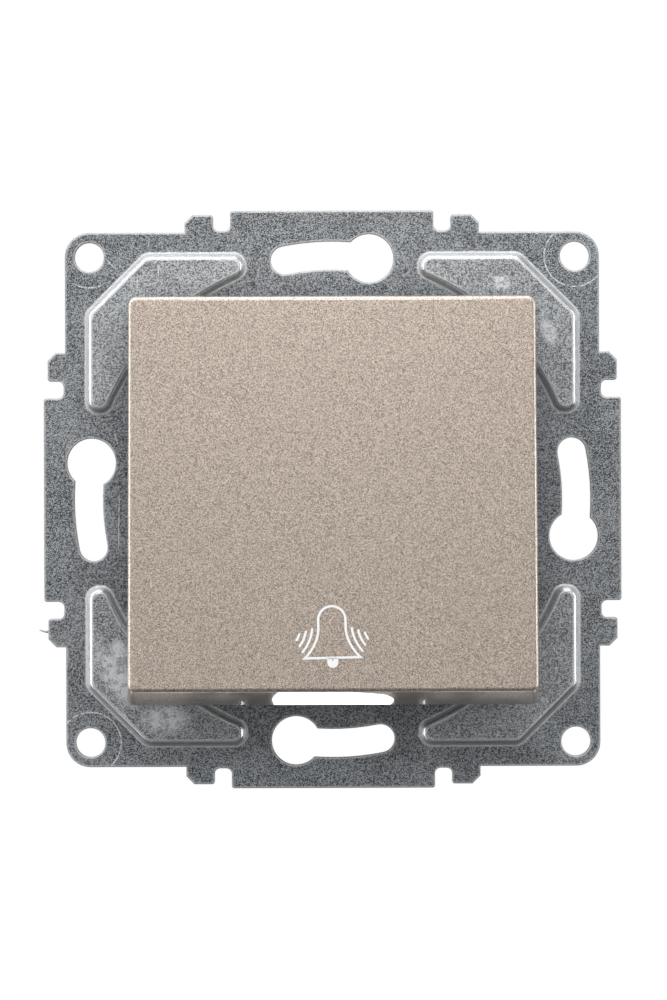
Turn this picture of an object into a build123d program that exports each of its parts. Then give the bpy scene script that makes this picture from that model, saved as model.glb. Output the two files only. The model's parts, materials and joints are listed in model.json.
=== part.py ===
from build123d import *
import math
import os

# Flush-mounted bell push: a steel box plate, a rocker in front of it and a contact block behind it.
# Every piece is drawn lying on its back: x to the right, y up the wall, z out of the wall,
# with z = 0 on the back of the plate. stand() then turns it upright: front to -Y, up to +Z.

# Steel plate, all in millimetres
sheet = 1.0
plate_size = 71.0
shoulder_span = 65.7
corner_hole_spacing = 59.7
corner_hole_diameter = 3.6
centre_tab_width = 25.0
notch_width = 2.1
notch_depth = 2.45
notch_round = 0.7
side_tab_width = 3.5
side_tab_setback = 0.5
side_tab_chamfer = 1.0
tab_round = 0.35

# Keyholes on the circle of the wall box's screws
box_screw_circle = 60.0
key_hole_diameter = 6.0
key_slot_width = 3.5
key_hole_angle = 8.75
key_slot_angle = 11.1

# Raised pads in the plate's corners
pad_span = 60.5
pad_chamfer = 7.25
pad_end = 10.7
pad_arm_width = 2.7
pad_end_round = 1.55
pad_corner_round = 2.0
pad_height = 0.8
pad_wall_width = 0.6
pad_edge_round = 0.4
pad_foot_round = 0.4

# Opening of the plate and the bearing frame
opening_size = 30.0
opening_round = 3.0

# Rocker cap, measured about the pivot
pivot_height = 7.0
cap_width = 49.9
cap_height = 49.9
cap_rise = 0.15
cap_front = 6.75
cap_skirt = 1.27
side_draft = 4.1
swing_draft = 9.3
swing_bulge = 0.07
cap_corner_round = 1.0
cap_edge_round = 0.5
cap_wall = 1.5
cap_face = 2.0
cap_rib_depth = 1.8
cap_rib_width = 1.0
rest_tilt = 5.2
press_angle = 8.0

# Clip hooks that hold the cap on its carrier
hook_width = 6.0
hook_spacing = 16.0
hook_thickness = 1.4
hook_reach = 0.7
hook_height = 1.2
hook_clearance = 0.1

# Rocker carrier
carrier_width = 29.0
carrier_height = 30.0
carrier_thickness = 2.2
carrier_round = 2.0
carrier_window = 11.0
carrier_rib_width = 1.2
cheek_thickness = 2.2
cheek_radius = 3.0
cheek_foot = 9.0
pin_radius = 1.8
pin_chamfer = 0.4
pin_end_clearance = 0.15

# Nose that works the plunger
lever_arm = 10.0
nose_drop = 2.6
nose_radius = 1.2
nose_width = 5.2
nose_clearance = 0.06

# Bearing frame
frame_size = 39.2
frame_thickness = 2.0
frame_rim = 1.2
frame_rim_width = 1.2
ear_thickness = 2.8
ear_radius = 3.6
ear_foot = 11.0
ear_gap = 0.3
bearing_clearance = 0.06

# Housing behind the plate
housing_overhang = 0.6
housing_wall = 2.2
rear_wall = 1.6
housing_chamfer = 0.8
flange_proud = 0.8
flange_depth = 3.5
cover_thickness = 2.2
cover_rebate = 0.8
cover_clearance = 0.15
floor_rib_width = 1.2
floor_rib_height = 5.0

# Housing screws
screw_inset = 2.4
screw_radius = 1.2
screw_clearance = 0.2
screw_thread_clearance = 0.05
screw_head_radius = 2.4
screw_head_height = 1.7
screw_head_chamfer = 0.6
screw_length = 12.0
recess_width = 0.7
recess_length = 2.6
recess_depth = 0.9

# Plunger
plunger_width = 6.0
plunger_height = 5.0
slide_clearance = 0.15
guide_length = 3.8
guide_wall = 1.4
collar_overhang = 1.2
collar_thickness = 1.3
stop_clearance = 0.1
collar_to_bridge = 1.2
stem_below_bridge = 3.0
spigot_radius = 1.4
spigot_length = 2.4

# Contact bridge and its tips
bridge_length = 18.6
bridge_height = 4.0
bridge_thickness = 0.8
tip_spacing = 15.0
tip_radius = 1.5
tip_thickness = 0.6
contact_clearance = 0.05

# Fixed contacts
strip_thickness = 0.8
strip_inner = 5.4
strip_arm = 4.8
strip_round = 0.8

# Wire terminals
terminal_boss_gap = 0.8
terminal_width = 6.8
terminal_height = 6.0
terminal_depth = 5.2
terminal_wall_gap = 0.2
wire_radius = 1.6
wire_front_wall = 0.7
entry_radius = 2.2
entry_funnel = 0.9
hold_down_width = 3.0
hold_down_inset = 1.5
hold_down_gap = 1.3

# Terminal screws, drawn backed out
clamp_screw_radius = 1.5
clamp_thread_clearance = 0.05
clamp_past_middle = 0.45
clamp_rest_gap = 0.1
clamp_head_radius = 2.75
clamp_head_height = 1.8
clamp_head_recess = 0.3
clamp_tip_gap = 0.05
clamp_slot_width = 0.8
clamp_slot_depth = 0.9
access_clearance = 0.35
access_wall = 1.2

# Return spring
spring_radius = 2.2
spring_wire = 0.28
spring_turns = 5
spring_wire_sides = 6
spring_seat_gap = 0.02

# Heights along z that follow from the sizes above
plate_front = sheet
pivot_z = plate_front + pivot_height
frame_front = plate_front + frame_thickness
guide_end = -cover_thickness - guide_length
collar_front = guide_end - stop_clearance
collar_back = collar_front - collar_thickness
bridge_front = collar_back - collar_to_bridge
bridge_back = bridge_front - bridge_thickness
bridge_tip_back = bridge_back - tip_thickness
stem_back = bridge_back - stem_below_bridge


def nose_tip(tilt):
    """Height of the nose's rounded end when the rocker leans out by tilt degrees."""
    angle = math.radians(tilt)
    return pivot_z - nose_drop * math.cos(angle) + lever_arm * math.sin(angle) - nose_radius


pressed_tilt = rest_tilt - press_angle
plunger_travel = nose_tip(rest_tilt) - nose_tip(pressed_tilt)
plunger_front = nose_tip(rest_tilt) - nose_clearance
fixed_tip_front = bridge_tip_back - plunger_travel - contact_clearance
strip_front = fixed_tip_front - tip_thickness
strip_back = strip_front - strip_thickness
terminal_back = strip_back - terminal_depth
wire_z = strip_back - wire_front_wall - wire_radius
clamp_tip = wire_z - wire_radius - clamp_tip_gap
clamp_travel = wire_z + clamp_past_middle - clamp_tip
clamp_head_front = terminal_back - clamp_rest_gap - clamp_travel
clamp_head_back = clamp_head_front - clamp_head_height
housing_back = clamp_head_back - clamp_head_recess
housing_floor = housing_back + rear_wall

# Places across the plate that follow from the sizes above
plate_half = plate_size / 2
notch_floor = plate_half - notch_depth
notch_start = centre_tab_width / 2
notch_end = notch_start + notch_width
side_tab_end = notch_end + side_tab_width
side_tab_edge = plate_half - side_tab_setback
plunger_y = -lever_arm
screw_spacing = frame_size - 2 * screw_inset
screw_boss_radius = screw_inset + housing_overhang
housing_size = frame_size + 2 * housing_overhang
housing_half = housing_size / 2
housing_inner = housing_half - housing_wall
terminal_x = screw_spacing / 2 - screw_boss_radius - terminal_boss_gap - terminal_width / 2
terminal_low = -housing_inner + terminal_wall_gap
terminal_y = terminal_low + terminal_height / 2
cheek_outer = carrier_width / 2 + ear_gap
ear_inner = cheek_outer + ear_gap
ear_outer = ear_inner + ear_thickness
pin_end = ear_outer - pin_end_clearance
bearing_radius = pin_radius + bearing_clearance
access_radius = clamp_head_radius + access_clearance

SMALL = 1e-4
OVERSHOOT = 1.0
ROUND_SHARE = 0.97
SIDES = ((-1, "left"), (1, "right"))
BOTTOM = (Align.CENTER, Align.CENTER, Align.MIN)


def span(x, y, z):
    """A box given by its lowest and highest x, y and z."""
    middle = Pos((x[0] + x[1]) / 2, (y[0] + y[1]) / 2, (z[0] + z[1]) / 2)
    return middle * Box(x[1] - x[0], y[1] - y[0], z[1] - z[0])


def disc(x, y, z, radius):
    """A round bar along z, given by its centre, its lowest and highest z and its radius."""
    return Pos(x, y, z[0]) * Cylinder(radius, z[1] - z[0], align=BOTTOM)


def swing_bar(points_face, x):
    """A profile drawn in the plane that the rocker swings in, drawn out from x[0] to x[1]."""
    turned = Plane.YZ * points_face
    return Pos(x[0], 0, 0) * extrude(turned, amount=x[1] - x[0], dir=(1, 0, 0))


def screw_places():
    """Where the four housing screws go through the frame and the plate."""
    return GridLocations(screw_spacing, screw_spacing, 2, 2)


def edge_outline():
    """One side of the plate: the centre tab, two notches and two chamfered side tabs."""
    half = make_face(
        Polyline(
            (0, 0),
            (side_tab_end, 0),
            (side_tab_end, side_tab_edge - side_tab_chamfer),
            (side_tab_end - side_tab_chamfer, side_tab_edge),
            (notch_end, side_tab_edge),
            (notch_end, notch_floor),
            (notch_start, notch_floor),
            (notch_start, plate_half),
            (0, plate_half),
            close=True,
        )
    )
    side = half + mirror(half, Plane.YZ)
    floors = [v for v in side.vertices() if abs(v.Y - notch_floor) < SMALL]
    side = fillet(floors, min(notch_round, ROUND_SHARE * notch_width / 2))
    tips = [v for v in side.vertices() if abs(abs(v.X) - notch_start) < SMALL]
    tips += [v for v in side.vertices() if abs(abs(v.X) - notch_end) < SMALL]
    tips = [v for v in tips if v.Y > side_tab_edge - SMALL]
    return fillet(tips, tab_round)


def keyhole():
    """The top keyhole: a round end to the right and a curved slot to the left."""
    ring = box_screw_circle / 2
    hole_direction = 90 - key_hole_angle
    slot_line = CenterArc((0, 0), ring, hole_direction, key_hole_angle + key_slot_angle)
    hole_x = ring * math.cos(math.radians(hole_direction))
    hole_y = ring * math.sin(math.radians(hole_direction))
    return SlotArc(slot_line, key_slot_width) + Pos(hole_x, hole_y) * Circle(key_hole_diameter / 2)


def pad_outline(inset):
    """Outline of the pad in the corner at +x, +y, moved inwards by inset: straight outside, round inside."""
    half = pad_span / 2 - inset
    square = Rectangle(2 * half, 2 * half)
    octagon = chamfer(square.vertices(), pad_chamfer - inset * (2 - math.sqrt(2)))
    octagon = fillet(octagon.vertices(), pad_corner_round - inset)
    end = pad_end + inset
    middle = (end + half) / 2
    corner = Pos(middle, middle) * Rectangle(half - end, half - end)
    inner_radius = math.hypot(pad_end, pad_span / 2 - pad_arm_width) + inset
    pad = (octagon - Circle(inner_radius)) & corner
    ends = [v for v in pad.vertices() if min(abs(v.X - end), abs(v.Y - end)) < SMALL]
    inner_lean = math.atan2(pad_end, pad_span / 2 - pad_arm_width)
    full_round = pad_arm_width / (1 + math.tan(math.pi / 4 - inner_lean / 2))
    return fillet(ends, min(pad_end_round, ROUND_SHARE * full_round) - inset)


def pad_body():
    """The pad with sloping walls, from the plate's front at z = 0 to its top."""
    foot = pad_outline(0)
    crown = Pos(0, 0, pad_height) * pad_outline(pad_wall_width)
    return loft([foot.face(), crown.face()], ruled=True)


def rounded_pad(raised):
    """The pad on a patch of sheet, with its crown and its foot rounded."""
    crown = [e for e in raised.edges() if e.center().Z > pad_height - SMALL]
    patch = offset(pad_outline(0), pad_foot_round)
    pad = extrude(patch, amount=-sheet) + fillet(crown, pad_edge_round)
    marks = [edge.center() for edge in pad_outline(0).edges()]
    feet = [e for e in pad.edges() if min((e.center() - mark).length for mark in marks) < SMALL]
    return fillet(feet, pad_foot_round)


def make_mounting_plate():
    corner_radius = (shoulder_span - corner_hole_spacing) / 2
    outline = RectangleRounded(shoulder_span, shoulder_span, corner_radius)
    for quarter in range(4):
        outline += Rot(0, 0, 90 * quarter) * edge_outline()
    outline -= RectangleRounded(opening_size, opening_size, opening_round)
    corner_hole = Circle(corner_hole_diameter / 2)
    outline -= GridLocations(corner_hole_spacing, corner_hole_spacing, 2, 2) * corner_hole
    screw_hole = Circle(screw_radius + screw_clearance)
    outline -= screw_places() * screw_hole
    for quarter in range(4):
        outline -= Rot(0, 0, 90 * quarter) * keyhole()
    plate = extrude(outline, amount=sheet)
    raised = pad_body()
    pad = Pos(0, 0, plate_front) * rounded_pad(raised)
    for quarter in range(4):
        plate += Rot(0, 0, 90 * quarter) * pad
    for quarter in range(4):
        plate -= Rot(0, 0, 90 * quarter) * raised
    return plate


def cap_block(width, height, front):
    """Block with drafted sides and gently bulging ends, from the skirt's rim to front, about the pivot."""
    depth = front + cap_skirt
    rim_half = height / 2
    front_half = rim_half - depth * math.tan(math.radians(swing_draft))
    lower_end = SagittaArc((-front_half, front), (-rim_half, -cap_skirt), -swing_bulge)
    upper_end = SagittaArc((rim_half, -cap_skirt), (front_half, front), -swing_bulge)
    rim = Line((-rim_half, -cap_skirt), (rim_half, -cap_skirt))
    face = Line((front_half, front), (-front_half, front))
    ends = swing_bar(make_face([lower_end, rim, upper_end, face]), (-width / 2, width / 2))
    narrower = depth * math.tan(math.radians(side_draft))
    taper = make_face(
        Polyline(
            (-width / 2, -cap_skirt),
            (width / 2, -cap_skirt),
            (width / 2 - narrower, front),
            (-width / 2 + narrower, front),
            close=True,
        )
    )
    sides = extrude(Plane.XZ * taper, amount=height, both=True)
    return ends & sides


def cap_hook(side_x, side_y):
    """One clip hook under the cap's face, gripping the carrier's upper or lower edge."""
    seat = cap_front - cap_face
    inner = carrier_height / 2 + hook_clearance
    outer = inner + hook_thickness
    barb_front = seat - carrier_thickness - hook_clearance
    barb_back = barb_front - hook_height
    profile = make_face(
        Polyline(
            (side_y * inner, seat),
            (side_y * outer, seat),
            (side_y * outer, barb_back),
            (side_y * inner, barb_back),
            (side_y * (inner - hook_reach), barb_front),
            (side_y * inner, barb_front),
            close=True,
        )
    )
    middle = side_x * hook_spacing / 2
    return swing_bar(profile, (middle - hook_width / 2, middle + hook_width / 2))


def make_rocker_cap():
    raise_cap = Pos(0, cap_rise, 0)
    outer = raise_cap * cap_block(cap_width, cap_height, cap_front)
    corners = [e for e in outer.edges() if abs(e.tangent_at(0.5).Z) > 0.5]
    outer = fillet(corners, cap_corner_round)
    rim = [e for e in outer.edges() if e.center().Z > cap_front - SMALL]
    outer = fillet(rim, cap_edge_round)
    inner_width = cap_width - 2 * cap_wall
    inner_height = cap_height - 2 * cap_wall
    seat = cap_front - cap_face
    cap = outer - raise_cap * cap_block(inner_width, inner_height, seat)
    hook_outer = carrier_height / 2 + hook_clearance + hook_thickness
    for side_y in (-1, 1):
        rib_y = side_y * (hook_outer + cap_rib_width / 2)
        rib = span((-cap_width / 2, cap_width / 2), (rib_y - cap_rib_width / 2, rib_y + cap_rib_width / 2),
                   (seat - cap_rib_depth, seat))
        cap += rib & outer
        for side_x in (-1, 1):
            cap += cap_hook(side_x, side_y)
    return cap


def cheek_profile(foot_width, foot, radius):
    """Outline of a cheek: a straight foot that narrows to a round eye about the pivot."""
    half = foot_width / 2
    web = make_face(Polyline((-half, foot), (half, foot), (radius, 0), (-radius, 0), close=True))
    return Circle(radius) + web


def make_rocker_carrier():
    seat = cap_front - cap_face
    back = seat - carrier_thickness
    plate = RectangleRounded(carrier_width, carrier_height, carrier_round)
    plate -= RectangleRounded(carrier_window, carrier_window, carrier_round)
    carrier = Pos(0, 0, back) * extrude(plate, amount=carrier_thickness)
    nose = make_face(
        Polyline(
            (-lever_arm - nose_radius, back),
            (-lever_arm + nose_radius, back),
            (-lever_arm + nose_radius, -nose_drop),
            (-lever_arm - nose_radius, -nose_drop),
            close=True,
        )
    )
    nose += Pos(-lever_arm, -nose_drop) * Circle(nose_radius)
    carrier += swing_bar(nose, (-nose_width / 2, nose_width / 2))
    cheek = cheek_profile(cheek_foot, back, cheek_radius)
    for side, _ in SIDES:
        inside = side * (cheek_outer - cheek_thickness)
        outside = side * cheek_outer
        carrier += swing_bar(cheek, sorted((inside, outside)))
        pin = Cylinder(pin_radius, pin_end - cheek_outer, align=BOTTOM)
        tip = [e for e in pin.edges() if e.center().Z > pin_end - cheek_outer - SMALL]
        pin = chamfer(tip, pin_chamfer)
        carrier += Pos(outside, 0, 0) * (Rot(0, 90 * side, 0) * pin)
        rib_x = side * nose_width / 2
        carrier += span(sorted((rib_x, rib_x - side * carrier_rib_width)),
                        (-lever_arm, -carrier_window / 2), (-nose_drop / 2, back))
    return carrier


def make_bearing_frame():
    ring = RectangleRounded(frame_size, frame_size, opening_round)
    ring -= RectangleRounded(opening_size, opening_size, opening_round)
    ring -= screw_places() * Circle(screw_radius + screw_clearance)
    frame = Pos(0, 0, plate_front) * extrude(ring, amount=frame_thickness)
    inner_edge = opening_size / 2
    for side in (-1, 1):
        rim_y = sorted((side * inner_edge, side * (inner_edge + frame_rim_width)))
        reach = inner_edge - opening_round
        frame += span((-reach, reach), rim_y, (frame_front, frame_front + frame_rim))
    ear = cheek_profile(ear_foot, plate_front - pivot_z, ear_radius) - Circle(bearing_radius)
    for side, _ in SIDES:
        place = sorted((side * ear_inner, side * ear_outer))
        frame += Pos(0, 0, pivot_z) * swing_bar(ear, place)
    return frame


def make_rear_housing():
    inner = 2 * housing_inner
    rebate = housing_size - 2 * (housing_wall - cover_rebate)
    tub = extrude(RectangleRounded(housing_size, housing_size, screw_boss_radius), amount=housing_back)
    back_edges = [e for e in tub.edges() if e.center().Z < housing_back + SMALL]
    tub = chamfer(back_edges, housing_chamfer)
    flange_size = housing_size + 2 * flange_proud
    flange = RectangleRounded(flange_size, flange_size, screw_boss_radius + flange_proud)
    tub += extrude(flange, amount=-flange_depth)
    tub -= extrude(Rectangle(inner, inner), amount=housing_floor)
    tub -= extrude(Rectangle(rebate, rebate), amount=-cover_thickness)
    tub += screw_places() * disc(0, 0, (housing_floor, 0), screw_boss_radius)
    pilot_back = frame_front - screw_length - screw_radius
    tub -= screw_places() * disc(0, 0, (pilot_back, 0), screw_radius + screw_thread_clearance)
    tub += disc(0, plunger_y, (housing_floor - SMALL, housing_floor + spigot_length), spigot_radius)
    rib_top = housing_floor + floor_rib_height
    for side in (-1, 1):
        rib_x = side * terminal_x / 2
        tub += span((rib_x - floor_rib_width / 2, rib_x + floor_rib_width / 2),
                    (0, housing_inner), (housing_floor - SMALL, rib_top))
    tub += span((-housing_inner, housing_inner), (-floor_rib_width / 2, floor_rib_width / 2),
                (housing_floor - SMALL, rib_top))
    for side, _ in SIDES:
        x = side * terminal_x
        tub += disc(x, terminal_y, (housing_back, terminal_back), access_radius + access_wall)
        tub -= disc(x, terminal_y, (housing_back - OVERSHOOT, terminal_back + SMALL), access_radius)
        entry = Cylinder(entry_radius, 2 * (housing_wall + OVERSHOOT))
        funnel = Cone(entry_radius + entry_funnel, entry_radius, entry_funnel, align=BOTTOM)
        tub -= Pos(x, -housing_half, wire_z) * (Rot(90, 0, 0) * entry)
        tub -= Pos(x, -housing_half, wire_z) * (Rot(-90, 0, 0) * funnel)
    return tub


def make_contact_cover():
    size = housing_size - 2 * (housing_wall - cover_rebate) - 2 * cover_clearance
    plate = Rectangle(size, size) - screw_places() * Circle(screw_boss_radius + cover_clearance)
    corner = Rectangle(2 * screw_boss_radius, 2 * screw_boss_radius)
    corner_spacing = screw_spacing + 2 * screw_boss_radius
    plate -= GridLocations(corner_spacing, corner_spacing, 2, 2) * corner
    cover = extrude(plate, amount=-cover_thickness)
    bore_width = plunger_width + 2 * slide_clearance
    bore_height = plunger_height + 2 * slide_clearance
    guide = Rectangle(bore_width + 2 * guide_wall, bore_height + 2 * guide_wall)
    cover += Pos(0, plunger_y, 0) * extrude(guide, amount=guide_end)
    bore = extrude(Rectangle(bore_width, bore_height), amount=guide_end - 2 * OVERSHOOT)
    cover -= Pos(0, plunger_y, OVERSHOOT) * bore
    hold_down_low = terminal_low + hold_down_inset
    hold_down_high = plunger_y - bridge_height / 2 - hold_down_gap
    for side, _ in SIDES:
        x = side * terminal_x
        cover += span((x - hold_down_width / 2, x + hold_down_width / 2),
                      (hold_down_low, hold_down_high), (strip_front, -SMALL))
    return cover


def screw_head_recess(length, depth):
    """Cross recess, open at z = 0 and cut downwards."""
    arm = Box(length, recess_width, depth, align=(Align.CENTER, Align.CENTER, Align.MAX))
    return arm + Rot(0, 0, 90) * arm


def make_housing_screws():
    shank = disc(0, 0, (frame_front - screw_length, frame_front), screw_radius)
    head = disc(0, 0, (frame_front, frame_front + screw_head_height), screw_head_radius)
    top = [e for e in head.edges() if e.center().Z > frame_front + screw_head_height - SMALL]
    head = chamfer(top, screw_head_chamfer)
    head -= Pos(0, 0, frame_front + screw_head_height) * screw_head_recess(recess_length, recess_depth)
    screw = shank + head
    return Compound(children=[place * screw for place in screw_places()])


def make_plunger():
    stem = Rectangle(plunger_width, plunger_height)
    collar = Rectangle(plunger_width + 2 * collar_overhang, plunger_height + 2 * collar_overhang)
    plunger = Pos(0, 0, stem_back) * extrude(stem, amount=plunger_front - stem_back)
    plunger += Pos(0, 0, collar_back) * extrude(collar, amount=collar_thickness)
    plunger += disc(0, 0, (stem_back - spigot_length, stem_back), spigot_radius)
    plunger -= span((-plunger_width, plunger_width), (-bridge_height / 2, bridge_height / 2),
                    (bridge_back, bridge_front))
    return Pos(0, plunger_y, 0) * plunger


def make_contact_bridge():
    blade = RectangleRounded(bridge_length, bridge_height, strip_round)
    return Pos(0, plunger_y, bridge_back) * extrude(blade, amount=bridge_thickness)


def make_bridge_tip(side):
    return disc(side * tip_spacing / 2, plunger_y, (bridge_tip_back, bridge_back), tip_radius)


def make_fixed_tip(side):
    return disc(side * tip_spacing / 2, plunger_y, (strip_front, fixed_tip_front), tip_radius)


def make_fixed_contact(side):
    """Stamped strip: an arm under the contact tip and a tail that lies on the terminal."""
    outer = terminal_x + terminal_width / 2
    tail_inner = terminal_x - terminal_width / 2
    arm_top = plunger_y + strip_arm / 2
    arm_low = plunger_y - strip_arm / 2
    blank = make_face(
        Polyline(
            (strip_inner, arm_top),
            (outer, arm_top),
            (outer, terminal_low),
            (tail_inner, terminal_low),
            (tail_inner, arm_low),
            (strip_inner, arm_low),
            close=True,
        )
    )
    ends = [v for v in blank.vertices() if v.Y > arm_top - SMALL or v.Y < terminal_low + SMALL]
    blank = fillet(ends, strip_round)
    strip = Pos(0, 0, strip_back) * extrude(blank, amount=strip_thickness)
    return strip if side > 0 else mirror(strip, Plane.YZ)


def make_terminal(side):
    """Brass block with a wire hole up through it and a threaded hole from behind."""
    half = terminal_width / 2
    block = span((-half, half), (terminal_low, terminal_low + terminal_height), (terminal_back, strip_back))
    wire_hole = Cylinder(wire_radius, 2 * terminal_height)
    block -= Pos(0, terminal_y, wire_z) * (Rot(90, 0, 0) * wire_hole)
    thread_radius = clamp_screw_radius + clamp_thread_clearance
    block -= disc(0, terminal_y, (terminal_back - OVERSHOOT, wire_z), thread_radius)
    return Pos(side * terminal_x, 0, 0) * block


def make_clamp_screw(side):
    shank = disc(0, 0, (clamp_head_front, clamp_tip), clamp_screw_radius)
    head = disc(0, 0, (clamp_head_back, clamp_head_front), clamp_head_radius)
    slot = span((-clamp_head_radius, clamp_head_radius), (-clamp_slot_width / 2, clamp_slot_width / 2),
                (clamp_head_back - OVERSHOOT, clamp_head_back + clamp_slot_depth))
    return Pos(side * terminal_x, terminal_y, 0) * (shank + head - slot)


def make_return_spring():
    """Open coil between the housing's floor and the plunger's shoulder."""
    low = housing_floor + spring_wire + spring_seat_gap
    high = stem_back - spring_wire - spring_seat_gap
    path = Helix((high - low) / spring_turns, high - low, spring_radius)
    section = Plane(origin=path @ 0, z_dir=path % 0) * RegularPolygon(spring_wire, spring_wire_sides)
    return Pos(0, plunger_y, low) * sweep(section, path=path, is_frenet=True)


def lean(part):
    """Set a piece drawn about the pivot in place, leaning out at the bottom as it rests."""
    return Pos(0, 0, pivot_z) * (Rot(-rest_tilt, 0, 0) * part)


def stand(part):
    """Turn a piece from its back to upright on the wall."""
    return Rot(90, 0, 0) * part


def all_pieces():
    pieces = {
        "mounting_plate": make_mounting_plate(),
        "rocker_cap": lean(make_rocker_cap()),
        "rocker_carrier": lean(make_rocker_carrier()),
        "bearing_frame": make_bearing_frame(),
        "rear_housing": make_rear_housing(),
        "contact_cover": make_contact_cover(),
        "housing_screws": make_housing_screws(),
        "contact_plunger": make_plunger(),
        "contact_bridge": make_contact_bridge(),
        "return_spring": make_return_spring(),
    }
    for side, word in SIDES:
        pieces["bridge_tip_" + word] = make_bridge_tip(side)
        pieces["fixed_tip_" + word] = make_fixed_tip(side)
        pieces["fixed_contact_" + word] = make_fixed_contact(side)
        pieces["terminal_" + word] = make_terminal(side)
        pieces["terminal_screw_" + word] = make_clamp_screw(side)
    return pieces


os.makedirs("parts", exist_ok=True)
for name, piece in all_pieces().items():
    solids = stand(piece).solids()
    export_step(Compound(children=solids) if len(solids) > 1 else solids[0], f"parts/{name}.step")
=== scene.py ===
import json
import math

import bpy
from mathutils import Matrix, Vector


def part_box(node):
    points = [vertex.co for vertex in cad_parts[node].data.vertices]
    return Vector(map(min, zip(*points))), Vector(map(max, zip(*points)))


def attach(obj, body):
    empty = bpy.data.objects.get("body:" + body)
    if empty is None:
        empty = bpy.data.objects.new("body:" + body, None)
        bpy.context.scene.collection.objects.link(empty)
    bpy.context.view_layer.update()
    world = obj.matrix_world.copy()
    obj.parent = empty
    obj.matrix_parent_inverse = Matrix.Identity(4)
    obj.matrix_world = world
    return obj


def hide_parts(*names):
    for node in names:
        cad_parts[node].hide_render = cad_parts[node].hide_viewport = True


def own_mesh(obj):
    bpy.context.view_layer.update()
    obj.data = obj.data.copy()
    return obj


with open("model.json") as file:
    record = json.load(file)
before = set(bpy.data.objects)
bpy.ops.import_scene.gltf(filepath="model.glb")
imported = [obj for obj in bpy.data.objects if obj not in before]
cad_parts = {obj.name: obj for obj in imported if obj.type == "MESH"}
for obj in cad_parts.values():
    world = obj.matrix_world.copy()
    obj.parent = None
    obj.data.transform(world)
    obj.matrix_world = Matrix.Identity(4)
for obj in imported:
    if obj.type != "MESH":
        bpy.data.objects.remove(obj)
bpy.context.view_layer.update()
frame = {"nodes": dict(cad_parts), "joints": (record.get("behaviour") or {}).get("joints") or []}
nodes = frame["nodes"]

# Looks of a flush-mounted bell push: galvanised plate, champagne lacquered rocker, white bell sign.
# Lengths are metres, in the part's own frame: the front faces -Y and up is +Z.
# camera_roll and sign_turn are degrees, and so are the leans of scratches and smears.
# A step is two limits, then the values below and above them where these aren't 0 and 1.
MM = 0.001
TURN = 2 * math.pi

# Picture and camera
picture_height_pixels = 1000
plate_pixels_per_mm = 8.13
camera_distance = 450 * MM
camera_aside = 0.11 * MM
camera_below = 0.086 * MM
camera_roll = 0.185
sensor_width_mm = 36.0

# Studio
floor_height = -140 * MM
floor_radius = 550 * MM
floor_sides = 96
floor_cloud_size = 60 * MM
floor_dark = 0.84
floor_light = 0.88
floor_rough_step = (0.2, 0.8, 0.6, 0.7)
soft_lights = (
    # name, place, target, side of the square, and power in watts
    ("key", (0.0, -0.34, 0.39), (0, 0, 0.005), 0.52, 0.98),
    ("front", (0.0, -0.3, 0.15), (0, 0, 0.01), 0.06, 0.06),
    ("behind_below", (0.0, 0.26, -0.17), (0, 0, -0.02), 0.17, 0.25),
)

# Room light, as steps along the x, y or z of a direction whose length is 1
base_step_z = (-0.6, -0.02, 0.1, 0.44)
behind_step_y = (0.6, 0.85)
above_floor_step_z = (-0.55, -0.25, 0.22, 1.0)
left_step_x = (-0.75, -0.45, 2.8, 0.0)
right_step_x = (0.75, 0.92, 0.0, 2.6)
top_step_x = (0.3, 0.6, 2.6, 0.12)
top_step_z = (0.45, 0.75)
below_step_z = (-0.9, -0.6, 0.12, 0.0)
ring_first_step_y = (-0.36, -0.26)
ring_second_step_y = (-0.2, -0.1, 0.0, 0.9)
ring_end_step_y = (0.0, 0.12, 1.0, 0.0)
soft_above_step_z = (0.3, 0.6, 0.0, 0.36)
soft_left_step_x = (-0.5, -0.2, 0.24, 0.0)

# Edge rounding in the finishes, and how far the burnish with its painted highlight, and the painted shade in
# the bends, reach from a bend
rim_round = 0.28 * MM
bend_mark_reach = 0.42 * MM
moulding_round = 0.15 * MM
stamping_round = 0.06 * MM
round_samples = 8

# Most values of a noise lie between these
noise_step = (0.3, 0.7)

# Plate: its front and the tops of its pads, along y
plate_front = -1.0 * MM
pad_top = -1.8 * MM
pad_margin = 0.1 * MM

# Galvanised steel: grain, streaks, clouds and colours
zinc_fine_size = 0.1 * MM
zinc_cell_size = 0.11 * MM
zinc_fine_share = 0.25
zinc_speck_step = (0.25, 0.75)
zinc_streak_size = 0.17 * MM
zinc_streak_squeeze = 0.07
zinc_streak_step = (0.66, 0.74, 0.0, 0.45)
zinc_cloud_size = 6 * MM
zinc_cloud_step = (0.35, 0.7, -0.12, 0.1)
zinc_rough_size = 0.9 * MM
zinc_rough_step = (*noise_step, 0.3, 0.44)
zinc_relief_depth = 0.05 * MM
zinc_relief = 0.5
zinc_metallic = 0.92
sheet_dark = (0.075, 0.082, 0.087, 1)
sheet_light = (0.47, 0.495, 0.52, 1)
pad_dark = (0.14, 0.15, 0.158, 1)
pad_light = (0.65, 0.675, 0.7, 1)

# Galvanised steel: bends, walls and edges, as steps of the angle from the plate in degrees
near_bend_step = (3.0, 8.0)
crease_step = (22.0, 34.0)
wall_step = (30.0, 38.0)
sheared_step = (65.0, 80.0)

# Galvanised steel: burnish with painted highlight, painted shade at wall feet and in bends, and wear
facing_front_step = (0.0, 0.2)
wall_foot_step = (plate_front - 0.42 * MM, plate_front - 0.2 * MM)
wall_rough = 0.2
sheared_rough = 0.5
foot_burnish_and_highlight = 0.75
hazy_metallic = 0.3
bend_relief = 0.04
smear_relief = 0.25
# Light wear colour: real wear and burnish, and a painted highlight on the pad walls and beside the bends
wear_and_highlight_dark = (0.6, 0.62, 0.64, 1)
wear_and_highlight_light = (0.95, 0.96, 0.97, 1)
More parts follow.
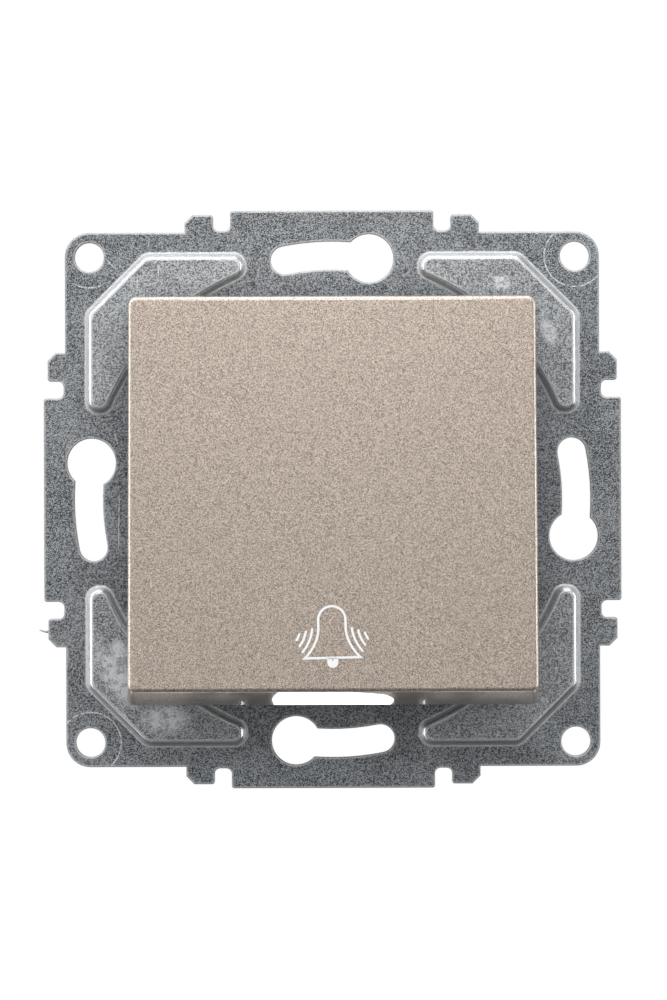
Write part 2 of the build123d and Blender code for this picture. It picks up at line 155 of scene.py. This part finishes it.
# Painted shade: dark grey along the foot of each pad wall
wall_foot_shade_colour = (0.33, 0.34, 0.35, 1)
# Painted shade: darker grey in the bends beside the pad walls
crease_shade_colour = (0.3, 0.31, 0.33, 1)
sheared_colour = (0.16, 0.16, 0.17, 1)

# Wear on the plate, at places across its front: x to the right, z up
corner_hole_half = 29.85 * MM
ring_mark_radius = 3.75 * MM
ring_mark_width = 0.1 * MM
left_arc_half_width = 2.5 * MM
left_arc_half_height = 1.5 * MM
scratch_width = 0.09 * MM
scratch_gap_size = 0.5 * MM
scratch_gap_step = (0.35, 0.55, 0.2, 1.0)
scratches = (
    # x, z, half length in millimetres, and lean from upright in degrees
    (-23.9, 26.8, 1.4, 2),
    (-21.3, 28.0, 1.2, -3),
    (-27.0, 23.0, 1.1, 84),
    (-26.6, 7.5, 1.1, -14),
    (-26.3, -3.0, 5.0, 1),
    (-27.2, 29.0, 1.3, -42),
    (-22.5, 31.6, 0.8, 0),
    (26.0, 22.9, 1.0, 40),
    (27.2, -18.5, 0.9, -30),
)
smear_gap_size = 0.8 * MM
smear_gap_step = (0.4, 0.54, 0.3, 1.0)
smears = (
    # x, z, half width and half height in millimetres, and lean from upright in degrees
    (-26.4, -21.8, 2.3, 5.6, -38),
    (-20.8, -27.0, 3.8, 2.3, 0),
    (-26.4, -18.6, 1.5, 1.9, 0),
    (20.9, 26.6, 1.5, 1.3, 0),
    (26.6, 20.4, 1.2, 2.4, -25),
    (24.6, 20.6, 0.7, 2.2, 0),
)
patch_fade_step = (0.4, 1.0, 1.0, 0.0)

# Champagne lacquer
lacquer_gloss = {"Metallic": 0.7, "Coat Weight": 1.0, "Coat Roughness": 0.04, "Coat IOR": 1.75}
flake_size = 0.055 * MM
flake_step = (0.35, 0.65)
flake_dark = (0.2, 0.164, 0.136, 1)
flake_light = (0.8, 0.672, 0.569, 1)
flake_rough_step = (0.0, 1.0, 0.3, 0.44)

# Moulded plastics, bare metals and the print
plastic_cloud_size = 5 * MM
plastic_pore_size = 0.25 * MM
plastic_pore_depth = 0.012 * MM
plastic_rough_spread = 0.14
metal_cloud_size = 1.6 * MM
metal_grain_size = 0.2 * MM
metal_grain_depth = 0.006 * MM
brass_light = (0.86, 0.62, 0.28, 1)
brass_dark = (0.7, 0.47, 0.19, 1)
screw_light = (0.8, 0.81, 0.78, 1)
screw_dark = (0.6, 0.62, 0.6, 1)
surface_relief = 0.4
ink_grain_size = 0.15 * MM
ink_dark = 0.97
ink_light = 1.0
ink_rough_step = (*noise_step, 0.35, 0.5)

# Bell sign, about the middle of its dome, along the rocker's face
sign_drop = 15.0 * MM
sign_aside = -0.14 * MM
sign_turn = 1.2
sign_proud = 0.03 * MM
sign_sunk = 0.02 * MM
sign_stroke = 0.28 * MM
dome_radius = 1.62 * MM
flank_start = -0.9 * MM
flank_end = (3.3 * MM, -4.52 * MM)
flank_pull_start = (1.62 * MM, -2.3 * MM)
flank_pull_end = (2.4 * MM, -3.65 * MM)
clapper_radius = 0.66 * MM
clapper_low = -5.06 * MM
clapper_hole_radius = 0.09 * MM
clapper_hole_place = -4.8 * MM
wave_stroke = 0.27 * MM
waves = (
    # start, two pulls and end of each sound wave on the right, in millimetres
    ((2.36, -1.06), (2.5, -2.3), (3.05, -3.15), (3.57, -3.78)),
    ((3.12, -1.32), (3.25, -2.05), (3.55, -2.6), (3.9, -3.05)),
    ((3.9, -1.62), (4.0, -1.9), (4.1, -2.1), (4.25, -2.33)),
)
curve_steps = 16
stroke_end_steps = 5
sharpest_mitre = 0.25
front_normal_y = -0.98

# Burr on the edge of the lower left side tab
burr_length = 1.1 * MM
burr_radius = 0.16 * MM
burr_height = -16.2 * MM
burr_inset = 0.45 * MM
burr_depth = 0.3 * MM
burr_forward = 0.12 * MM
burr_curl = 0.25 * MM
burr_taper = 0.8
burr_steps = 8
burr_sides = 8

# Return spring
spring_turns = 5
spring_wire_radius = 0.28 * MM
spring_steps = 40
spring_sides = 12


def socket(tree, target, value):
    """Link a socket to another one, or set its value."""
    if isinstance(value, bpy.types.NodeSocket):
        tree.links.new(value, target)
    else:
        target.default_value = value


class Graph:
    """Short ways to add the nodes that the finishes and the room are made of."""

    def __init__(self, tree):
        self.tree = tree

    def node(self, kind, inputs=(), **settings):
        made = self.tree.nodes.new(kind)
        for name, value in settings.items():
            setattr(made, name, value)
        for key, value in dict(inputs).items():
            socket(self.tree, made.inputs[key], value)
        return made

    def math(self, operation, first, second=0.0):
        return self.node("ShaderNodeMath", {0: first, 1: second}, operation=operation).outputs[0]

    def product(self, first, second):
        return self.math("MULTIPLY", first, second)

    def total(self, first, second):
        return self.math("ADD", first, second)

    def largest(self, values):
        result = values[0]
        for value in values[1:]:
            result = self.math("MAXIMUM", result, value)
        return result

    def vector(self, operation, first, second):
        return self.node("ShaderNodeVectorMath", {0: first, 1: second}, operation=operation)

    def ease(self, value, low, high, start=0.0, end=1.0):
        """start below low, end above high, and a smooth step between them."""
        inputs = {0: value, 1: low, 2: high, 3: start, 4: end}
        return self.node("ShaderNodeMapRange", inputs, interpolation_type="SMOOTHSTEP").outputs[0]

    def noise(self, place, size, detail=2.0, roughness=0.55):
        """Soft noise whose blotches are about size metres across."""
        inputs = {"Vector": place, "Scale": 1.0 / size, "Detail": detail, "Roughness": roughness}
        return self.node("ShaderNodeTexNoise", inputs).outputs[0]

    def cells(self, place, size):
        """One random grey for each cell of about size metres."""
        made = self.node("ShaderNodeTexVoronoi", {"Vector": place, "Scale": 1.0 / size})
        return self.node("ShaderNodeSeparateColor", {0: made.outputs["Color"]}).outputs[0]

    def blend(self, factor, first, second):
        """A number between first and second."""
        return self.node("ShaderNodeMix", {0: factor, 2: first, 3: second}, data_type="FLOAT").outputs[0]

    def mix(self, factor, first, second):
        """A colour between first and second."""
        made = self.node("ShaderNodeMix", {0: factor, 6: first, 7: second}, data_type="RGBA")
        return made.outputs[2]


class Finish(Graph):
    """A material with one principled shader, patterned by the place on the object."""

    def __init__(self, name, constants=()):
        self.material = bpy.data.materials.new(name)
        self.material.use_nodes = True
        super().__init__(self.material.node_tree)
        self.shader = self.tree.nodes["Principled BSDF"]
        self.place = self.node("ShaderNodeTexCoord").outputs["Object"]
        for key, value in dict(constants).items():
            self.set(key, value)

    def set(self, key, value):
        socket(self.tree, self.shader.inputs[key], value)

    def rounded(self, radius):
        """Normals as if every sharp edge were rounded."""
        return self.node("ShaderNodeBevel", {"Radius": radius}, samples=round_samples).outputs[0]

    def tilt(self, normal):
        """Angle in degrees between the surface and the plate."""
        facing = self.math("ABSOLUTE", self.vector("DOT_PRODUCT", normal, (0, 1, 0)).outputs["Value"])
        return self.math("DEGREES", self.math("ARCCOSINE", self.math("MINIMUM", facing, 1.0)))

    def patch(self, x, z, half_width, half_height, lean):
        """1 inside a long round spot on the front, falling to 0 at its rim."""
        inputs = {
            "Vector": self.place,
            "Location": (x, 0, z),
            "Rotation": (0, math.radians(lean), 0),
            "Scale": (half_width, 1.0, half_height),
        }
        local = self.node("ShaderNodeMapping", inputs, vector_type="TEXTURE").outputs[0]
        reach = self.vector("LENGTH", local, (0, 0, 0)).outputs["Value"]
        return self.ease(reach, *patch_fade_step)

    def ring(self, x, z, radius, width):
        """1 on a thin circle about a place on the front."""
        flat = self.vector("MULTIPLY", self.place, (1, 0, 1)).outputs[0]
        reach = self.vector("DISTANCE", flat, (x, 0, z)).outputs["Value"]
        away = self.math("ABSOLUTE", self.math("SUBTRACT", reach, radius))
        return self.ease(away, width / 2, width, 1.0, 0.0)

    def bump(self, height, depth, strength, normal):
        inputs = {"Height": height, "Distance": depth, "Strength": strength, "Normal": normal}
        self.set("Normal", self.node("ShaderNodeBump", inputs).outputs[0])


def grey(level, warm=0.0):
    return (level * (1 + warm), level, level * (1 - warm), 1.0)


def plate_scratches(finish):
    """Light scratches, and the rings that tools left round three corner holes."""
    marks = []
    for x, z, half_length, lean in scratches:
        marks.append(finish.patch(x * MM, z * MM, scratch_width, half_length * MM, lean))
    half = corner_hole_half
    marks.append(finish.ring(half, half, ring_mark_radius, ring_mark_width))
    marks.append(finish.ring(-half, -half, ring_mark_radius, ring_mark_width))
    left_ring = finish.ring(-half, half, ring_mark_radius, ring_mark_width)
    below_hole = finish.patch(-half, half - ring_mark_radius, left_arc_half_width, left_arc_half_height, 0)
    marks.append(finish.product(left_ring, below_hole))
    broken = finish.ease(finish.noise(finish.place, scratch_gap_size), *scratch_gap_step)
    return finish.product(finish.largest(marks), broken)


def plate_smears(finish):
    """Smooth greasy smears where the zinc's specks fade."""
    marks = []
    for x, z, half_width, half_height, lean in smears:
        marks.append(finish.patch(x * MM, z * MM, half_width * MM, half_height * MM, lean))
    gaps = finish.noise(finish.place, smear_gap_size, detail=3.0, roughness=0.7)
    return finish.product(finish.largest(marks), finish.ease(gaps, *smear_gap_step))


def zinc_colour(finish, grain, height):
    """Dark and light specks with fine streaks and soft clouds, lighter on the pads than on the sheet."""
    speck = finish.ease(grain, *zinc_speck_step)
    streaks = []
    for squeeze in ((1, 1, zinc_streak_squeeze), (zinc_streak_squeeze, 1, 1)):
        squeezed = finish.vector("MULTIPLY", finish.place, squeeze).outputs[0]
        streaks.append(finish.noise(squeezed, zinc_streak_size, detail=1.0))
    streak = finish.ease(finish.largest(streaks), *zinc_streak_step)
    cloud = finish.ease(finish.noise(finish.place, zinc_cloud_size, detail=3.0), *zinc_cloud_step)
    level = finish.total(finish.total(speck, streak), cloud)
    on_pad = finish.ease(height, pad_top + pad_margin, plate_front - pad_margin, 1.0, 0.0)
    dark = finish.mix(on_pad, sheet_dark, pad_dark)
    light = finish.mix(on_pad, sheet_light, pad_light)
    return finish.mix(level, dark, light)


def galvanised_steel():
    """Speckled zinc, lighter beside every bend from burnish and a painted highlight, with painted light pad
    walls, painted shade at their feet and in the bends, wear on the front and dark sheared edges.
    """
    finish = Finish("galvanised_steel")
    place = finish.place
    fine = finish.ease(finish.noise(place, zinc_fine_size, detail=1.0, roughness=0.5), *noise_step)
    grain = finish.blend(zinc_fine_share, finish.cells(place, zinc_cell_size), fine)
    height = finish.node("ShaderNodeSeparateXYZ", {0: place}).outputs[1]

    # Where the sheet bends, stands up or is cut
    normal = finish.node("ShaderNodeNewGeometry").outputs["Normal"]
    tilt = finish.tilt(normal)
    bend = finish.tilt(finish.rounded(bend_mark_reach))
    near_bend = finish.ease(bend, *near_bend_step)
    wall = finish.ease(tilt, *wall_step)
    flat = finish.math("SUBTRACT", 1.0, wall)
    # Painted shade mask: the flat parts of the bends right beside the walls
    crease_shade = finish.product(finish.ease(bend, *crease_step), flat)
    sheared = finish.ease(tilt, *sheared_step)
    wall_foot = finish.ease(height, *wall_foot_step)
    near_foot = finish.product(near_bend, finish.largest([flat, wall_foot]))

    # Smears and scratches lie on the front only
    facing = finish.vector("DOT_PRODUCT", normal, (0, -1, 0)).outputs["Value"]
    on_front = finish.ease(facing, *facing_front_step)
    smear = finish.product(plate_smears(finish), on_front)
    scratch = finish.product(plate_scratches(finish), on_front)
    # Painted highlight: pad walls and the lines beside bends take the light wear colour, together with real
    # scratches, smears and burnish
    wear_and_highlight = finish.largest([scratch, wall, smear, finish.product(near_foot, foot_burnish_and_highlight)])
    hazy = finish.largest([near_foot, smear])

    # What these make of the bare zinc: wear and burnish, a painted highlight on walls and bend lines, and
    # painted shade at wall feet and in bends
    wear_highlight_and_shade_colour = finish.mix(grain, wear_and_highlight_dark, wear_and_highlight_light)
    # Painted shade: dark grey line where the pad walls meet the sheet
    wear_highlight_and_shade_colour = finish.mix(finish.product(wall, wall_foot), wear_highlight_and_shade_colour, wall_foot_shade_colour)
    colour = finish.mix(wear_and_highlight, zinc_colour(finish, grain, height), wear_highlight_and_shade_colour)
    # Painted shade in the bends beside the pad walls
    colour = finish.mix(crease_shade, colour, crease_shade_colour)
    finish.set("Base Color", finish.mix(sheared, colour, sheared_colour))
    finish.set("Metallic", finish.blend(hazy, zinc_metallic, hazy_metallic))
    rough = finish.ease(finish.noise(place, zinc_rough_size), *zinc_rough_step)
    rough = finish.blend(finish.math("SUBTRACT", wall, wall_foot), rough, wall_rough)
    finish.set("Roughness", finish.blend(sheared, rough, sheared_rough))
    relief = finish.blend(near_bend, finish.blend(smear, zinc_relief, smear_relief), bend_relief)
    finish.bump(fine, zinc_relief_depth, relief, finish.rounded(rim_round))
    return finish.material


def champagne_lacquer():
    """Metal flakes under a clear coat."""
    finish = Finish("champagne_lacquer", lacquer_gloss)
    flake = finish.ease(finish.cells(finish.place, flake_size), *flake_step)
    finish.set("Base Color", finish.mix(flake, flake_dark, flake_light))
    finish.set("Roughness", finish.ease(flake, *flake_rough_step))
    return finish.material


def moulded_plastic(name, light, dark, rough):
    """Faintly cloudy plastic with a fine grain."""
    finish = Finish(name)
    cloud = finish.noise(finish.place, plastic_cloud_size, detail=3.0)
    pore = finish.noise(finish.place, plastic_pore_size)
    finish.set("Base Color", finish.mix(finish.ease(cloud, *noise_step), dark, light))
    finish.set("Roughness", finish.ease(pore, *noise_step, rough, rough + plastic_rough_spread))
    finish.bump(pore, plastic_pore_depth, surface_relief, finish.rounded(moulding_round))
    return finish.material


def bare_metal(name, light, dark, smooth, rough):
    """Slightly stained metal whose roughness varies from smooth to rough."""
    finish = Finish(name, {"Metallic": 1.0})
    cloud = finish.noise(finish.place, metal_cloud_size, detail=3.0)
    fine = finish.noise(finish.place, metal_grain_size)
    finish.set("Base Color", finish.mix(finish.ease(cloud, *noise_step), dark, light))
    finish.set("Roughness", finish.ease(fine, *noise_step, smooth, rough))
    finish.bump(fine, metal_grain_depth, surface_relief, finish.rounded(stamping_round))
    return finish.material


def sign_print():
    """White ink with a faint grain."""
    finish = Finish("sign_print")
    ink = finish.noise(finish.place, ink_grain_size)
    finish.set("Base Color", finish.mix(ink, grey(ink_dark), grey(ink_light)))
    finish.set("Roughness", finish.ease(ink, *ink_rough_step))
    return finish.material


def dress(material, *names):
    """Give CAD nodes their finish."""
    for name in names:
        slots = nodes[name].data.materials
        slots.clear()
        slots.append(material)


def add_mesh(name, points, faces, material, body, smooth=True):
    """A visual piece that rides on a body."""
    mesh = bpy.data.meshes.new(name)
    mesh.from_pydata(points, [], faces)
    mesh.validate()
    mesh.materials.append(material)
    for polygon in mesh.polygons:
        polygon.use_smooth = smooth
    piece = bpy.data.objects.new(name, mesh)
    bpy.context.scene.collection.objects.link(piece)
    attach(piece, body)
    return piece


def joint(name):
    return next(entry for entry in frame["joints"] if entry["name"] == name)


def on_circle(radius, angle):
    """The two coordinates of a point on a circle, for an angle in radians."""
    return radius * math.cos(angle), radius * math.sin(angle)


def rocker_face():
    """The rocker's front face as a frame: x to the right, y up along the face, z out of it."""
    cap = nodes["rocker_cap"].data
    front = max(cap.polygons, key=lambda polygon: polygon.area if polygon.normal.y < front_normal_y else 0)
    out = front.normal.normalized()
    right = Vector((1, 0, 0))
    up = out.cross(right)
    pivot = Vector(joint("rocker_press")["pos_m"])
    middle = pivot + out * (front.center - pivot).dot(out)
    axes = Matrix((right, up, out)).transposed().to_4x4()
    return Matrix.Translation(middle) @ axes


def offset_line(line, distance, closed):
    """The line moved sideways, to its left for a positive distance, with mitred corners."""
    moved = []
    count = len(line)
    for i, point in enumerate(line):
        before = line[i - 1] if closed or i > 0 else None
        after = line[(i + 1) % count] if closed or i < count - 1 else None
        come = (point - before).normalized() if before is not None else (after - point).normalized()
        go = (after - point).normalized() if after is not None else come
        left = Vector((-come.y, come.x)) + Vector((-go.y, go.x))
        side = left.normalized()
        reach = distance / max(side.dot(Vector((-come.y, come.x))), sharpest_mitre)
        moved.append(point + side * reach)
    return moved


def ribbon(name, left, right, closed, place, material):
    """A thin raised print between two lines with as many points each."""
    count = len(left)
    points = []
    for height in (sign_proud, -sign_sunk):
        for line in (left, right):
            points += [place @ Vector((p.x, p.y, height)) for p in line]
    faces = []
    for i in range(count if closed else count - 1):
        j = (i + 1) % count
        faces.append((i, count + i, count + j, j))
        faces.append((2 * count + j, 3 * count + j, 3 * count + i, 2 * count + i))
        faces.append((j, 2 * count + j, 2 * count + i, i))
        faces.append((count + i, 3 * count + i, 3 * count + j, count + j))
    if not closed:
        last = count - 1
        faces.append((0, 2 * count, 3 * count, count))
        faces.append((last, count + last, 3 * count + last, 2 * count + last))
    add_mesh(name, points, faces, material, "rocker", smooth=False)


def bezier(points, steps):
    """Points along a cubic curve."""
    a, b, c, d = (Vector(p) for p in points)
    line = []
    for i in range(steps + 1):
        t = i / steps
        s = 1 - t
        line.append(s * s * s * a + 3 * s * s * t * b + 3 * s * t * t * c + t * t * t * d)
    return line


def bell_outline():
    """Middle line of the bell: right foot, flank, dome, left flank, left foot."""
    flank = bezier(((dome_radius, flank_start), flank_pull_start, flank_pull_end, flank_end), curve_steps)
    dome = []
    for i in range(2 * curve_steps + 1):
        angle = math.pi * i / (2 * curve_steps)
        dome.append(Vector(on_circle(dome_radius, angle)))
    right = list(reversed(flank))
    left = [Vector((-p.x, p.y)) for p in flank]
    return right + dome + left


def clapper_outlines():
    """Rim of the clapper, flat where it hangs from the bell, and its small hole."""
    rim = []
    hole = []
    steps = 4 * curve_steps
    for i in range(steps):
        angle = TURN * i / steps
        x, y = on_circle(clapper_radius, angle)
        rim.append(Vector((x, clapper_low + y if y < 0 else flank_end[1])))
        x, y = on_circle(clapper_hole_radius, angle)
        hole.append(Vector((x, clapper_hole_place + y)))
    return rim, hole


def rounded_stroke(line, width):
    """Left and right edges of a stroke with round ends."""
    half = width / 2
    left = offset_line(line, half, False)
    right = offset_line(line, -half, False)
    start = (line[0] - line[1]).normalized()
    end = (line[-1] - line[-2]).normalized()
    caps = []
    for tip, way in ((line[0], start), (line[-1], end)):
        rows = []
        for i in range(1, stroke_end_steps):
            angle = math.pi / 2 * i / stroke_end_steps
            across, along = on_circle(half, angle)
            rows.append((tip + way * along, across))
        caps.append(rows)
    side_start = Vector((start.y, -start.x))
    side_end = Vector((-end.y, end.x))
    left_cap = [point + side_start * across for point, across in reversed(caps[0])]
    right_cap = [point - side_start * across for point, across in reversed(caps[0])]
    left += [point + side_end * across for point, across in caps[1]]
    right += [point - side_end * across for point, across in caps[1]]
    return left_cap + left, right_cap + right


def bell_sign(material):
    """The bell's outline, its clapper and three sound waves on each side."""
    turn = Matrix.Rotation(math.radians(sign_turn), 4, "Z")
    place = rocker_face() @ Matrix.Translation((sign_aside, -sign_drop, 0)) @ turn
    line = bell_outline()
    outer = offset_line(line, -sign_stroke / 2, True)
    inner = offset_line(line, sign_stroke / 2, True)
    ribbon("bell_outline", inner, outer, True, place, material)
    rim, hole = clapper_outlines()
    ribbon("bell_clapper", hole, rim, True, place, material)
    for side, word in ((-1, "left"), (1, "right")):
        for number, points in enumerate(waves, 1):
            wave = bezier([(side * x * MM, y * MM) for x, y in points], curve_steps // 2)
            left, right = rounded_stroke(wave, wave_stroke)
            ribbon(f"sound_wave_{word}_{number}", left, right, False, place, material)


def tube(name, centres, radius, sides, material, body):
    """Round bar along a line of points, with closed ends. radius is a number for each point."""
    points = []
    faces = []
    count = len(centres)
    for i, centre in enumerate(centres):
        ahead = centres[min(i + 1, count - 1)] - centres[max(i - 1, 0)]
        turn = ahead.to_track_quat("Z", "Y")
        for k in range(sides):
            angle = TURN * k / sides
            rim = Vector((math.cos(angle), math.sin(angle), 0)) * radius[i]
            points.append(centre + turn @ rim)
    for i in range(count - 1):
        for k in range(sides):
            n = (k + 1) % sides
            faces.append((i * sides + k, i * sides + n, (i + 1) * sides + n, (i + 1) * sides + k))
    faces.append(tuple(reversed(range(sides))))
    faces.append(tuple(range((count - 1) * sides, count * sides)))
    return add_mesh(name, points, faces, material, body)


def return_spring(material):
    """Round wire coil in the place of the return spring."""
    low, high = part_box("return_spring")
    middle = (low + high) / 2
    radius = (high.x - low.x) / 2 - spring_wire_radius
    start = low.y + spring_wire_radius
    length = high.y - low.y - 2 * spring_wire_radius
    centres = []
    steps = spring_turns * spring_steps
    for i in range(steps + 1):
        x, z = on_circle(radius, TURN * i / spring_steps)
        centres.append(Vector((middle.x + x, start + length * i / steps, middle.z + z)))
    wire = [spring_wire_radius] * len(centres)
    piece = tube("return_spring_coil", centres, wire, spring_sides, material, "insert")
    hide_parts("return_spring")
    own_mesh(piece)


def edge_burr(material):
    """Thin whisker of sheared metal on the lower left side tab."""
    plate_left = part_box("mounting_plate")[0].x
    root = Vector((plate_left + burr_inset, plate_front + burr_depth, burr_height))
    centres = []
    radius = []
    for i in range(burr_steps + 1):
        t = i / burr_steps
        centres.append(root + Vector((-burr_length * t, -burr_forward * t, burr_curl * t * t)))
        radius.append(burr_radius * (1 - burr_taper * t))
    tube("edge_burr", centres, radius, burr_sides, material, "insert")


def studio():
    """Round pale floor, left out of reflections and of bounced light."""
    points = []
    for i in range(floor_sides):
        x, y = on_circle(floor_radius, TURN * i / floor_sides)
        points.append(Vector((x, y, floor_height)))
    mesh = bpy.data.meshes.new("studio_floor")
    mesh.from_pydata(points, [], [tuple(range(floor_sides))])
    finish = Finish("studio_floor")
    cloud = finish.noise(finish.place, floor_cloud_size)
    finish.set("Base Color", finish.mix(cloud, grey(floor_dark), grey(floor_light)))
    finish.set("Roughness", finish.ease(cloud, *floor_rough_step))
    mesh.materials.append(finish.material)
    floor = bpy.data.objects.new("studio_floor", mesh)
    floor.visible_glossy = False
    floor.visible_diffuse = False
    bpy.context.scene.collection.objects.link(floor)


def surroundings():
    """White backdrop, and a soft room: a bright ring beside and above the part, and less light below."""
    world = bpy.data.worlds.new("studio")
    world.use_nodes = True
    bpy.context.scene.world = world
    graph = Graph(world.node_tree)
    background = world.node_tree.nodes["Background"]
    direction = graph.node("ShaderNodeTexCoord").outputs["Generated"]
    split = graph.node("ShaderNodeSeparateXYZ", {0: direction})
    x, y, z = split.outputs[0], split.outputs[1], split.outputs[2]
    above_floor = graph.ease(z, *above_floor_step_z)
    on_left = graph.product(above_floor, graph.ease(x, *left_step_x))
    on_right = graph.product(above_floor, graph.ease(x, *right_step_x))
    on_top = graph.product(graph.ease(x, *top_step_x), graph.ease(z, *top_step_z))
    sides = graph.largest([on_left, on_right, on_top, graph.ease(z, *below_step_z)])
    rise = graph.total(graph.ease(y, *ring_first_step_y), graph.ease(y, *ring_second_step_y))
    horizon = graph.product(rise, graph.ease(y, *ring_end_step_y))
    ring = graph.product(horizon, sides)
    soft_left = graph.product(above_floor, graph.ease(x, *soft_left_step_x))
    glow = graph.total(graph.ease(z, *soft_above_step_z), soft_left)
    base = graph.total(graph.ease(z, *base_step_z), graph.ease(y, *behind_step_y))
    room = graph.total(base, graph.total(ring, glow))
    seen = graph.node("ShaderNodeLightPath").outputs["Is Camera Ray"]
    light = graph.mix(seen, room, (1, 1, 1, 1))
    socket(world.node_tree, background.inputs["Color"], light)
    background.inputs["Strength"].default_value = 1.0


def soft_light(name, place, target, size, power):
    """Square lamp that the camera doesn't see."""
    lamp = bpy.data.lights.new(name, "AREA")
    lamp.shape = "SQUARE"
    lamp.size = size
    lamp.energy = power
    light = bpy.data.objects.new(name, lamp)
    light.location = place
    light.rotation_euler = (Vector(target) - Vector(place)).to_track_quat("-Z", "Y").to_euler()
    light.visible_camera = False
    bpy.context.scene.collection.objects.link(light)


def camera():
    """Camera straight in front, with the plate at the photograph's scale."""
    lens = bpy.data.cameras.new("camera")
    lens.sensor_width = sensor_width_mm
    picture_span = picture_height_pixels / plate_pixels_per_mm * MM
    lens.lens = sensor_width_mm * camera_distance / picture_span
    view = bpy.data.objects.new("camera", lens)
    view.location = (camera_aside, plate_front - camera_distance, -camera_below)
    view.rotation_euler = (math.radians(90), math.radians(camera_roll), 0)
    bpy.context.scene.collection.objects.link(view)
    bpy.context.scene.camera = view


steel = galvanised_steel()
lacquer = champagne_lacquer()
nylon = moulded_plastic("white_nylon", light=grey(0.72, 0.02), dark=grey(0.69, 0.02), rough=0.36)
grey_plastic = moulded_plastic("pale_grey_plastic", light=grey(0.52), dark=grey(0.5), rough=0.42)
ivory = moulded_plastic("ivory_plastic", light=grey(0.6, 0.06), dark=grey(0.58, 0.065), rough=0.4)
brass = bare_metal("contact_brass", light=brass_light, dark=brass_dark, smooth=0.22, rough=0.38)
silver = bare_metal("contact_silver", light=grey(0.92, 0.01), dark=grey(0.8, 0.01), smooth=0.2, rough=0.34)
spring_steel = bare_metal("spring_steel", light=grey(0.66), dark=grey(0.5), smooth=0.22, rough=0.36)
zinc = bare_metal("zinc_screw", light=screw_light, dark=screw_dark, smooth=0.24, rough=0.4)

dress(steel, "mounting_plate")
dress(lacquer, "rocker_cap")
dress(nylon, "rocker_carrier", "contact_plunger")
dress(grey_plastic, "bearing_frame", "contact_cover")
dress(ivory, "rear_housing")
dress(zinc, "housing_screws", "terminal_screw_left", "terminal_screw_right")
dress(brass, "contact_bridge", "fixed_contact_left", "fixed_contact_right", "terminal_left", "terminal_right")
dress(silver, "bridge_tip_left", "bridge_tip_right", "fixed_tip_left", "fixed_tip_right")
dress(spring_steel, "return_spring")

bell_sign(sign_print())
return_spring(spring_steel)
edge_burr(steel)

bpy.context.scene.view_settings.view_transform = "Standard"
studio()
surroundings()
for settings in soft_lights:
    soft_light(*settings)
camera()
